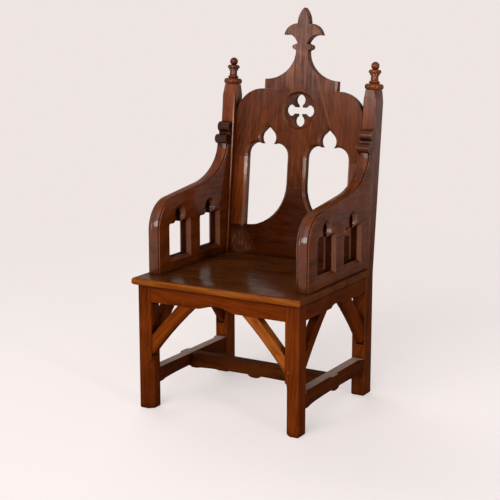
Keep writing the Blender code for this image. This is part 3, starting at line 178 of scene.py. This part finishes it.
LEG = Tint((60, 20, 3), (101, 41, 9), (122, 55, 15), (156, 88, 38), edge_wear_and_highlight=0.85)
RAIL = Tint((64, 21, 3), (98, 38, 5), (118, 50, 10), (156, 86, 34))
# a little darker than the rails: painted shade on the side rails
SIDE_RAIL = Tint((56, 19, 3), (94, 38, 8), (114, 51, 13), (150, 84, 36))
# a little darker: painted shade on the side braces
BRACE = Tint((60, 20, 3), (94, 37, 7), (114, 50, 12), (146, 82, 36))
LEFT_BRACE = Tint((76, 28, 5), (114, 50, 9), (134, 64, 17), (160, 92, 40))
RIGHT_BRACE = Tint((98, 42, 10), (144, 75, 25), (162, 91, 36), (180, 110, 54))
STRETCHER = Tint((44, 17, 4), (76, 32, 9), (94, 44, 14), (120, 78, 52))
CROSS = Tint((38, 15, 4), (66, 28, 7), (82, 38, 11), (110, 70, 44))
ARM = Tint(
    (54, 21, 5), (98, 43, 11), (114, 53, 16), (148, 104, 84),
    varnish=0.86, low_shine=0.15, edge_wear_and_highlight=0.9, grime_and_shade_reach=0.060,
)
BACK = Tint((48, 18, 5), (81, 34, 8), (102, 47, 15), (140, 90, 60), varnish=0.38, satin=0.15, low_shine=0.3)
STILE = Tint((54, 20, 5), (94, 41, 12), (122, 58, 22), (158, 104, 72), varnish=1, flecks=0.45, low_shine=0.5)
POST = Tint((56, 21, 5), (97, 42, 10), (120, 56, 18), (156, 100, 68), varnish=1, flecks=0.35)
LEFT_POST = Tint((62, 23, 5), (110, 48, 11), (134, 62, 20), (160, 100, 64), varnish=0.75, flecks=0.5)
FINIAL = Tint((54, 20, 5), (104, 46, 12), (126, 62, 22), (170, 104, 58), varnish=0.55, satin=0.10)
SEAT = Tint((42, 18, 5), (80, 39, 13), (98, 51, 19), (150, 80, 26), varnish=0.42, satin=0.21, low_shine=1)
PEG = Tint((66, 28, 8), (108, 52, 16), (130, 70, 30), (150, 90, 50), varnish=0)
NOSING = (srgb(108, 48, 9), srgb(143, 78, 22))  # darker and paler oak of the seat's rounded edge
SAPWOOD = srgb(126, 62, 28)
LOW_BACK_SHADE = srgb(170, 160, 150)  # painted shade low on the back: what the colour is multiplied by where it is darkest
# grey of dust on level tops, partly painted sheen of the pale room
DUST_AND_SHEEN = srgb(166, 140, 126)


# Grain and marks of the oak

# Cells of the noises that draw the grain: across, across and along it
PORE = (0.0011, 0.0011, 0.020)
FIBRE = (0.0030, 0.0030, 0.110)
STREAK = (0.016, 0.016, 0.360)
FLECK = (0.0045, 0.0016, 0.014)
BLOTCH = (0.075, 0.075, 0.140)
WOBBLE = (0.070, 0.070, 0.300)
RING_WANDER = 0.022  # how far the wobble moves a ring

# Cells of the noises that lie in the chair's own axes
SMUDGE = (0.030, 0.030, 0.030)
NICK = (0.007, 0.007, 0.007)
SCRATCH = (0.004, 0.004, 0.030)

# Levels of a noise between which its mark comes in
PORE_LEVELS = (0.57, 0.70)
FLECK_LEVELS = (0.58, 0.74)
NICK_LEVELS = (0.78, 0.84)
SCRATCH_LEVELS = (0.54, 0.68)
WEAR_AND_HIGHLIGHT_LEVELS = (0.34, 0.60)  # of the smudges that leave the edges worn and painted with highlight
RUB_LEVELS = (0.25, 0.75)  # of the smudges that dull the varnish
FIBRE_LEVELS = (-0.20, 0.20)
PALE_LINES = (0.02, 0.18)
DARK_LINES = (-0.20, -0.04)
NOSING_LEVELS = (0.25, 0.75)
FIGURE_STOPS = (0.16, 0.50, 0.84)  # of the figure, where the stain, the ground and the figure's colour lie
EARLY_WOOD = (0.05, 0.55)  # part of a ring over which its open early wood ends

# Parts of a face's normal, to the side, to the back or up, between which a mark comes in
LEVEL_FACE = (0.80, 0.97)
FRONT_FACE = (-0.75, -0.25)
ARM_FRONT_FACE = (-0.92, -0.60)
NOSE_TOP = (0.55, 0.92)
NOSE_FRONT = (-0.50, -0.10)
JAMB_SIDE = (0.40, 0.60)
JAMB_FRONT = (-0.60, -0.40)

# Openness to the room, and turn of an edge, between which a mark comes in
GRIME_AND_SHADE_SHELTER = (0.30, 0.92)
WEAR_AND_HIGHLIGHT_SHELTER = (0.15, 0.60)
EDGE_TURNS = (0.01, 0.22)

# Places in the chair between which a mark comes in
SHINE_HEIGHTS = (0.25, 1.15)
LOW_BACK_SHADE_HEIGHTS = (0.54, 0.80)
CREST_HEIGHTS = (1.00, 1.12)
ARM_FRONTS = (-0.19, -0.15)
POOL_RIM = 0.85  # part of a pool's radius at which it starts to fade
SCUFF_RIM = 0.40
REVEAL_RIM = (0.92, 1.00)

# Places in a plank, from its heart and along the grain
SAP_BLUR = 0.001
SAP_LINE = 0.006
SAP_SIDE = (0, 0.050)
BAND_CORE = 0.2  # part of the band's half width that is palest
BAND_WANDER = 1.5
BAND_FOOT = (-0.33, -0.18)
BAND_HEAD = (-0.16, -0.06)

# Shares in which marks cover the colour below them
PORE_SHARE = 0.42
NICK_SHARE = 0.12
GRIME_AND_SHADE_SHARE = 0.85
SAP_SHARE = 0.22
SAP_LINE_SHARE = 0.42
BAND_SHARE = 0.60
SCRATCH_SHARE = 0.50
SCUFF_SHARE = 0.14
ARM_FRONT_SHADE = 0.35
REVEAL_SHADE_SHARE = 0.80  # painted shade in the windows' reveals; the varnish loses the same share there
LATE_PORES = 0.40  # pores in the late wood, beside those in the early wood
LOW_LINES = 0.25  # weathered lines below the crest, beside those on it
NOSE_SIDES = 0.25  # bright oak on the sides of the nosing, beside that on its front
DUST_AND_SHEEN_LEAST = 0.60
DUST_AND_SHEEN_SMUDGES = 0.50

# Shares of the varnish that are left or added
RUBBED_SHINE = 0.60
FIBRE_SHINE = 0.70  # where it has sunk into the fibre
PORE_SINK = 0.40  # what it loses over pores
NOSE_SHINE = 0.25
HAND_POLISH = 1.10

ARRIS = 0.0022  # radius to which edges are rounded in the shading, and worn and painted with highlight
RAYS = 6  # feelers round a point for edges and shelter
BUMP_HEIGHT = 0.00022
BUMP_STRENGTH = 0.5
VARNISH_IOR = 1.5


class Plank:
    """How the growth rings lie in a plank: their width, how fast they taper and how far the heart is."""

    def __init__(self, across, behind, ring=0.0055, taper=0.035, sapwood=None, band=None):
        self.heart = Vector((across, behind, 0))
        self.ring = ring
        self.taper = taper
        self.sapwood = sapwood  # how far from the heart the paler sapwood starts
        self.band = band  # middle and half width of a paler band along the grain


class Surface:
    """Terms that a finish is drawn from: how each point lies, faces and is sheltered, and the grain there."""

    def __init__(self, start, tint, turn, middle, plank):
        self.place = start.node("ShaderNodeTexCoord", out="Object")
        _, self.depth, self.height = self.place.parts()
        facing = start.node("ShaderNodeNewGeometry", out="Normal")
        self.side, self.back, self.up = facing.parts()
        self.rounded = start.node("ShaderNodeBevel", {"samples": RAYS}, {"Radius": ARRIS})
        self.edge_turn = 1 - self.rounded.vector("DOT_PRODUCT", facing, out="Value")
        sockets = {"Distance": tint.grime_and_shade_reach}
        self.shelter = start.node("ShaderNodeAmbientOcclusion", {"samples": RAYS}, sockets, out="AO")
        # grime, and painted shade, in corners and recesses, from how sheltered a point is
        self.grime_and_shade = 1 - self.shelter.between(*GRIME_AND_SHADE_SHELTER)
        self.smudge = self.place.noise(SMUDGE, 3)
        self.nick = self.place.noise(NICK, 0).between(*NICK_LEVELS)

        heart = middle + turn.to_matrix() @ plank.heart
        sockets = {"Vector": self.place, "Location": heart, "Rotation": turn}
        grain = start.node("ShaderNodeMapping", {"vector_type": "TEXTURE"}, sockets)
        self.across, _, self.along = grain.parts()
        self.wander = grain.swing(WOBBLE) * RING_WANDER
        self.reach = grain.vector("MULTIPLY", (1, 1, 0)).length() + self.wander + self.along * plank.taper
        rings = self.reach / plank.ring
        self.early = 1 - rings.math("FRACT").between(*EARLY_WOOD)
        self.streak = grain.swing(STREAK, 3)
        self.fibre = grain.swing(FIBRE, 3)
        self.blotch = grain.swing(BLOTCH)
        self.pore = grain.noise(PORE, 1).between(*PORE_LEVELS) * self.early.at_least(LATE_PORES)
        self.fleck = grain.noise(FLECK, 1).between(*FLECK_LEVELS)
        self.figure = self.streak * 0.60 + self.fibre * 0.40 + self.blotch * 0.75 - self.early * 0.13 + 0.54


def stained(surface, tint, plank):
    """The oak's own colour: its figure, and the paler sapwood or band of some planks."""
    stops = list(zip(FIGURE_STOPS, (tint.stain, tint.ground, tint.figure)))
    figure = surface.figure
    colour = figure.node("ShaderNodeValToRGB", {"stops": stops}, {"Fac": figure}, out="Color")
    if plank.sapwood:
        starts = surface.reach.between(plank.sapwood - SAP_BLUR, plank.sapwood + SAP_BLUR)
        paler = starts * surface.across.between(*SAP_SIDE)
        line = paler * (1 - surface.reach.between(plank.sapwood, plank.sapwood + SAP_LINE))
        colour = (paler * SAP_SHARE + line * SAP_LINE_SHARE).mixed(colour, SAPWOOD)
    if plank.band:
        middle, half = plank.band
        off = surface.across + surface.wander * BAND_WANDER - middle
        stretch = surface.along.between(*BAND_FOOT) * (1 - surface.along.between(*BAND_HEAD))
        paler = (1 - off.math("ABSOLUTE").between(BAND_CORE * half, half)) * stretch
        colour = (paler * BAND_SHARE).mixed(colour, tint.figure)
    return colour


def lined(colour, surface, tint, share):
    """Pale and dark lines along the weathered grain, strongest high on the crest."""
    lines = surface.fibre + surface.streak
    exposed = surface.height.between(*CREST_HEIGHTS).at_least(LOW_LINES) * share
    colour = (lines.between(*PALE_LINES) * exposed).mixed(colour, tint.wear_and_highlight)
    return ((1 - lines.between(*DARK_LINES)) * exposed).mixed(colour, tint.stain)


def darkened_round(colour, surface, tint, centre, radius, share):
    """Darker round a place: painted shade in the roundel's recess and low on the left front leg, and darker
    rolls on the arms.
    """
    away = surface.place.vector("SUBTRACT", centre).length()
    pool = 1 - away.between(POOL_RIM * radius, radius)
    return (pool * share).mixed(colour, tint.stain, "MULTIPLY")


def within_box(surface, centre, half):
    """1 inside a box, given by its centre and half its size."""
    x, y, z = surface.place.vector("SUBTRACT", centre).vector("DIVIDE", half).vector("ABSOLUTE").parts()
    return 1 - x.math("MAXIMUM", x, y.math("MAXIMUM", y, z)).between(*REVEAL_RIM)


def nosed(colour, surface):
    """Brighter oak on the seat's rounded edge, most of all along its front."""
    front = 1 - surface.back.between(*NOSE_FRONT)
    edge = (1 - surface.up.between(*NOSE_TOP)) * front.at_least(NOSE_SIDES)
    return edge.mixed(colour, surface.figure.between(*NOSING_LEVELS).mixed(*NOSING))


def scuffed(colour, surface, tint, centre, radius):
    """Scratches and a dull rub on the front, round a place."""
    front = 1 - surface.back.between(*FRONT_FACE)
    away = surface.place.vector("SUBTRACT", centre).length()
    scratch = surface.place.noise(SCRATCH, 1).between(*SCRATCH_LEVELS) * SCRATCH_SHARE + SCUFF_SHARE
    return (scratch * front * (1 - away.between(SCUFF_RIM * radius, radius))).mixed(colour, tint.wear_and_highlight)


def oak(
    name, tint, turn, middle, plank, dusty=0, jambs=0, weathered=0, nosing=False, deep=False, pools=(),
    reveals=None, scuffs=None,
):
    """A finish of stained oak. turn and middle place the grain's axes, whose Z runs along the grain."""
    material = bpy.data.materials.new(name)
    start = emptied(material)
    surface = Surface(start, tint, turn, middle, plank)
    pore, fibre, smudge, grime_and_shade = surface.pore, surface.fibre, surface.smudge, surface.grime_and_shade

    colour = stained(surface, tint, plank)
    if weathered:
        colour = lined(colour, surface, tint, weathered)
    if deep:
        # painted shade: the colour darkens low on the back
        colour = (1 - surface.height.between(*LOW_BACK_SHADE_HEIGHTS)).mixed(colour, LOW_BACK_SHADE, "MULTIPLY")
    # painted shade in recesses, and darker rolls, round given places
    for pool in pools:
        colour = darkened_round(colour, surface, tint, *pool)
    if reveals:
        within = within_box(surface, *reveals)
        arm_front = (1 - surface.back.between(*ARM_FRONT_FACE)) * (1 - surface.depth.between(*ARM_FRONTS))
        # painted shade inside the arms' windows
        colour = (within * REVEAL_SHADE_SHARE).mixed(colour, tint.stain, "MULTIPLY")
        # painted shade on the front of the arms
        colour = (arm_front * ARM_FRONT_SHADE).mixed(colour, tint.stain)
    if nosing:
        colour = nosed(colour, surface)
    if scuffs:
        colour = scuffed(colour, surface, tint, *scuffs)
    if jambs:
        # painted highlight on the chamfers and splays
        splay = surface.side.math("ABSOLUTE").between(*JAMB_SIDE) * (1 - surface.back.between(*JAMB_FRONT))
        colour = (splay * jambs).mixed(colour, tint.wear_and_highlight)
    colour = (surface.fleck * tint.flecks).mixed(colour, tint.figure)
    colour = (pore * PORE_SHARE).mixed(colour, tint.stain)

    # edges worn, and lightened as painted highlight along the arrises
    edges = surface.edge_turn.between(*EDGE_TURNS) * surface.shelter.between(*WEAR_AND_HIGHLIGHT_SHELTER)
    wear_and_highlight = edges * smudge.between(*WEAR_AND_HIGHLIGHT_LEVELS)
    colour = (wear_and_highlight * tint.edge_wear_and_highlight + surface.nick * NICK_SHARE).mixed(colour, tint.wear_and_highlight)
    # grime and painted shade darken sheltered corners and recesses
    colour = (grime_and_shade * GRIME_AND_SHADE_SHARE).mixed(colour, tint.stain, "MULTIPLY")

    rough = smudge * 0.16 + surface.blotch * 0.10 + pore * 0.12 + grime_and_shade * 0.15 + 0.34
    if dusty:
        # dust, and painted sheen, on the level tops of the stretchers
        dust = surface.up.between(*LEVEL_FACE) * (smudge * DUST_AND_SHEEN_SMUDGES + DUST_AND_SHEEN_LEAST) * dusty
        colour = dust.mixed(colour, DUST_AND_SHEEN)
        rough = rough + dust * 0.3

    kept = surface.height.between(*SHINE_HEIGHTS).at_least(tint.low_shine)
    if reveals:
        kept = (kept + arm_front * HAND_POLISH) * (1 - within * REVEAL_SHADE_SHARE)
    filled = (1 - pore * PORE_SINK) * fibre.between(*FIBRE_LEVELS).at_least(FIBRE_SHINE)
    varnish = kept * filled * smudge.between(*RUB_LEVELS).at_least(RUBBED_SHINE) * (1 - grime_and_shade) * tint.varnish
    if nosing:
        varnish = varnish * surface.up.between(*LEVEL_FACE).at_least(NOSE_SHINE)

    relief = fibre * 0.5 - pore * 0.8 + surface.fleck * 0.15 - surface.early * 0.2
    bump = {"Height": relief, "Normal": surface.rounded, "Distance": BUMP_HEIGHT, "Strength": BUMP_STRENGTH}
    normal = start.node("ShaderNodeBump", None, bump)
    surfaced(start, {
        "Base Color": colour, "Roughness": rough, "Coat Weight": varnish, "Normal": normal,
        "Specular IOR Level": 0, "Coat Roughness": tint.satin, "Coat IOR": VARNISH_IOR,
    })
    return material


# Which plank each piece is cut from, which way its grain runs, and the marks that it bears

SQUARE = Plank(0.050, 0.085)
SLAB = Plank(0.030, 0.110)
BACK_PLANK = Plank(-0.050, 0.250, ring=0.011, taper=0.170, sapwood=0.304, band=(0.050, 0.036))
SEAT_PLANK = Plank(0.190, 0.060, ring=0.007)
ARM_PLANK = Plank(0.160, 0.040)
TURNED = Plank(0.012, 0.020)
PIN = Plank(0.006, 0.004)
CUT_APART = 0.61  # how far apart along the tree the pieces are cut

ROUNDEL_SHADE = ((0, 0.258, 0.954), 0.050, 0.45)  # painted shade in the roundel's recess: middle, radius and share
# painted shade low on the left front leg
FOOT_SHADE = ((-0.27, -0.27, 0), 0.29, 0.30)
ROLL_SHARES = {"left": 0.75, "right": 0.45}
ROLL_POOLS = {hand: ((side * 0.27, 0.19, 0.86), 0.055, ROLL_SHARES[hand]) for hand, side in SIDES.items()}
# boxes of painted shade inside the arms' windows: middle and half size
WINDOW_REVEALS = {hand: ((side * 0.2705, -0.01, 0.56), (0.0118, 0.18, 0.10)) for hand, side in SIDES.items()}
BASE_SCUFFS = ((-0.22, 0.215, 0.455), 0.085)
JAMB_HIGHLIGHT = 0.40  # painted highlight, in the colour of worn oak, on the chamfers of the lancets
SPLAY_HIGHLIGHT = 0.35  # painted highlight on the splays of the arms' windows
ONE_PLANK = {"crest_board": 0.7, "back_head_board": 0.3, "back_mullion": 0.6}  # and how weathered each is


def put_on(name, material):
    mesh = nodes[name].data
    mesh.materials.clear()
    mesh.materials.append(material)


def dress(name, tint, turn, plank, **marks):
    """Gives a piece its own oak, cut from its own place along the tree."""
    low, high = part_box(name)
    cut = CUT_APART * (sorted(nodes).index(name) + 1)
    middle = (low + high) / 2 + turn.to_matrix() @ Vector((0, 0, cut))
    put_on(name, oak(f"{name}_oak", tint, turn, middle, plank, **marks))


def dress_brace(name, tint):
    """Gives a brace oak whose grain runs from its foot in the leg up to the rail."""
    low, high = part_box(name)
    size = high - low
    side = SIDES[name.rsplit("_", 1)[1]]
    if name.startswith("front"):
        turn = Euler((0, -side * math.atan2(size.x, size.z), 0))
    else:
        lean = math.atan2(size.y, size.z)
        turn = Euler((-lean if "front" in name else lean, 0, 0))
    dress(name, tint, turn, SLAB)


for hand in SIDES:
    dress(f"finial_{hand}", FINIAL, LEANING, TURNED)
    dress(f"side_rail_{hand}", SIDE_RAIL, FRONT_TO_BACK, SLAB)
    dress(f"back_stile_{hand}", STILE, LEANING, SLAB, jambs=JAMB_HIGHLIGHT)
    dress(
        f"arm_panel_{hand}", ARM, FRONT_TO_BACK, ARM_PLANK, jambs=SPLAY_HIGHLIGHT, pools=[ROLL_POOLS[hand]],
        reveals=WINDOW_REVEALS[hand],
    )
    dress_brace(f"side_front_brace_{hand}", BRACE)
    dress_brace(f"side_rear_brace_{hand}", BRACE)
dress_brace("front_brace_left", LEFT_BRACE)
dress_brace("front_brace_right", RIGHT_BRACE)
dress("front_leg_left", LEG, UPRIGHT, SQUARE, pools=[FOOT_SHADE])
dress("front_leg_right", LEG, UPRIGHT, SQUARE)
dress("back_post_left", LEFT_POST, LEANING, SQUARE)
dress("back_post_right", POST, LEANING, SQUARE)
dress("side_stretcher_left", STRETCHER, FRONT_TO_BACK, SLAB, dusty=1.2)
dress("side_stretcher_right", STRETCHER, FRONT_TO_BACK, SLAB, dusty=1)
dress("cross_stretcher", CROSS, SIDE_TO_SIDE, SLAB, dusty=0.06)
dress("front_rail", RAIL, SIDE_TO_SIDE, SLAB)
dress("back_rail", LEG, SIDE_TO_SIDE, SLAB)
dress("seat_board", SEAT, SIDE_TO_SIDE, SEAT_PLANK, nosing=True)
dress("back_base_board", BACK, SIDE_TO_SIDE, SLAB, deep=True, jambs=JAMB_HIGHLIGHT, scuffs=BASE_SCUFFS)

low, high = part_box("crest_board")
seam = Vector((0, (low.y + high.y) / 2, low.z))  # between the crest and the head board
for name, weathered in ONE_PLANK.items():
    marks = {"deep": True, "jambs": JAMB_HIGHLIGHT, "pools": [ROUNDEL_SHADE], "weathered": weathered}
    put_on(name, oak(f"{name}_oak", BACK, LEANING, seam, BACK_PLANK, **marks))

for name in nodes:
    if name.startswith("front_peg") and name.endswith("top"):
        dress(name, RAIL, FRONT_TO_BACK, PIN)
    elif "_peg_" in name:
        dress(name, PEG, SIDE_TO_SIDE if "stretcher" in name else FRONT_TO_BACK, PIN)
    elif "_dowel_" in name:
        dress(name, PEG, UPRIGHT, PIN)


# Round stretches are shaded smooth, and corners stay crisp

SMOOTH_LIMIT = math.radians(27)
WELD = 0.00001


def smooth_shading():
    """Joins the corners of a mesh's faces and shades it smooth between its sharp edges."""
    group = bpy.data.node_groups.new("smooth_shading", "GeometryNodeTree")
    group.interface.new_socket("Geometry", in_out="INPUT", socket_type="NodeSocketGeometry")
    group.interface.new_socket("Geometry", in_out="OUTPUT", socket_type="NodeSocketGeometry")
    start = Term(group)
    shape = start.node("NodeGroupInput")
    shape = start.node("GeometryNodeRemoveAttribute", None, {"Geometry": shape, "Name": "custom_normal"})
    shape = start.node("GeometryNodeMergeByDistance", None, {"Geometry": shape, "Distance": WELD})
    shape = start.node("GeometryNodeSetShadeSmooth", {"domain": "FACE"}, {"Geometry": shape})
    angle = start.node("GeometryNodeInputMeshEdgeAngle")
    crisp = start.node("FunctionNodeCompare", {"operation": "GREATER_THAN"}, {0: angle, 1: SMOOTH_LIMIT})
    sockets = {"Geometry": shape, "Selection": crisp, "Shade Smooth": False}
    shape = start.node("GeometryNodeSetShadeSmooth", {"domain": "EDGE"}, sockets)
    start.node("NodeGroupOutput", None, {"Geometry": shape})
    return group


smoothing = smooth_shading()
for piece in nodes.values():
    step = piece.modifiers.new("smooth_shading", "NODES")
    step.node_group = smoothing


# Studio

FLOOR = 400  # half its width
FLOOR_PAINT = srgb(210, 203, 200)
FLOOR_GLOW = srgb(178, 171, 169)
FLOOR_FADE = (0.9, 3.5)  # distances over which the floor goes over into the room
FLOOR_BOUNCE = srgb(132, 116, 104)  # colour in which the floor passes light on
WALL = srgb(238, 229, 226)  # the room and the floor as the camera and reflections see them
ROOM_LIGHT = (0.16, 0.16, 0.17, 1)
BLACK = (0, 0, 0, 1)
SOFT = math.radians(60)  # width of the light from the sky

LENS = 88.874  # in mm, as the width of the film is
FILM = 36
CAMERA_PLACE = (1.9644, -3.4445, 1.3343)
CAMERA_TURN = (math.radians(78.2), 0, math.radians(30.26))


def added(name, data):
    """A new object in the scene."""
    made = bpy.data.objects.new(name, data)
    bpy.context.scene.collection.objects.link(made)
    return made


def backdrop(start, shown, bounced):
    """The studio's colour for the camera and reflections, and another one for the light that it gives."""
    seen = start.node("ShaderNodeLightPath", out="Is Camera Ray")
    seen = seen + seen.beside("Is Glossy Ray") + seen.beside("Is Transmission Ray")
    return seen.math("MINIMUM", seen, 1).mixed(bounced, shown)


def floor():
    """A wide floor that holds the chair's shadow and goes over into the colour of the room."""
    corners = [(-FLOOR, -FLOOR, 0), (FLOOR, -FLOOR, 0), (FLOOR, FLOOR, 0), (-FLOOR, FLOOR, 0)]
    mesh = bpy.data.meshes.new("floor")
    mesh.from_pydata(corners, [], [(0, 1, 2, 3)])
    made = added("floor", mesh)
    material = bpy.data.materials.new("floor_paint")
    start = emptied(material)
    far = start.node("ShaderNodeTexCoord", out="Object").length().between(*FLOOR_FADE)
    surfaced(start, {
        "Base Color": backdrop(start, far.mixed(FLOOR_PAINT, BLACK), FLOOR_BOUNCE),
        "Emission Color": backdrop(start, far.mixed(FLOOR_GLOW, WALL), BLACK),
        "Emission Strength": 1, "Roughness": 0.9, "Specular IOR Level": 0,
    })
    mesh.materials.append(material)


def room():
    world = bpy.data.worlds.new("room")
    bpy.context.scene.world = world
    start = emptied(world)
    light = start.node("ShaderNodeBackground", None, {"Color": backdrop(start, WALL, ROOM_LIGHT)})
    start.node("ShaderNodeOutputWorld", None, {"Surface": light})


def lamp(name, kind, place, aim, energy, **settings):
    data = bpy.data.lights.new(name, kind)
    data.energy = energy
    for key, value in settings.items():
        setattr(data, key, value)
    made = added(name, data)
    made.location = place
    made.rotation_euler = (Vector(aim) - Vector(place)).to_track_quat("-Z", "Y").to_euler()
    made.visible_camera = False
    return made


def panel(name, place, aim, watts, width, height):
    """An upright lamp with a soft, square-cut face."""
    lamp(name, "AREA", place, aim, watts, shape="RECTANGLE", size=width, size_y=height)


def lamps():
    lamp("sky", "SUN", (0.6, -3.1, 3.0), aim=(0, 0, 0.5), energy=0.8, angle=SOFT)
    fill = lamp("back_fill", "SUN", (-2.5, 2.0, 1.2), aim=(0, 0, 0), energy=1.6, angle=SOFT)
    fill.visible_glossy = False
    panel("window", (0.4, -10.8, 3.7), aim=(0, 0, 0.7), watts=800, width=8.0, height=3.4)
    panel("right_box", (7.6, -3.8, 1.6), aim=(0, 0, 0.8), watts=200, width=0.9, height=3.0)
    panel("left_strip", (-7.8, -6.6, 1.6), aim=(0, 0, 0.8), watts=55, width=0.45, height=3.0)
    panel("left_box", (-4.8, -10.4, 3.4), aim=(0, 0.2, 1.1), watts=145, width=2.6, height=2.4)


def camera():
    data = bpy.data.cameras.new("camera")
    data.lens = LENS
    data.sensor_width = FILM
    data.clip_end = 2 * FLOOR
    made = added("camera", data)
    made.location = CAMERA_PLACE
    made.rotation_euler = CAMERA_TURN
    bpy.context.scene.camera = made


floor()
room()
lamps()
camera()
bpy.context.scene.view_settings.view_transform = "Standard"
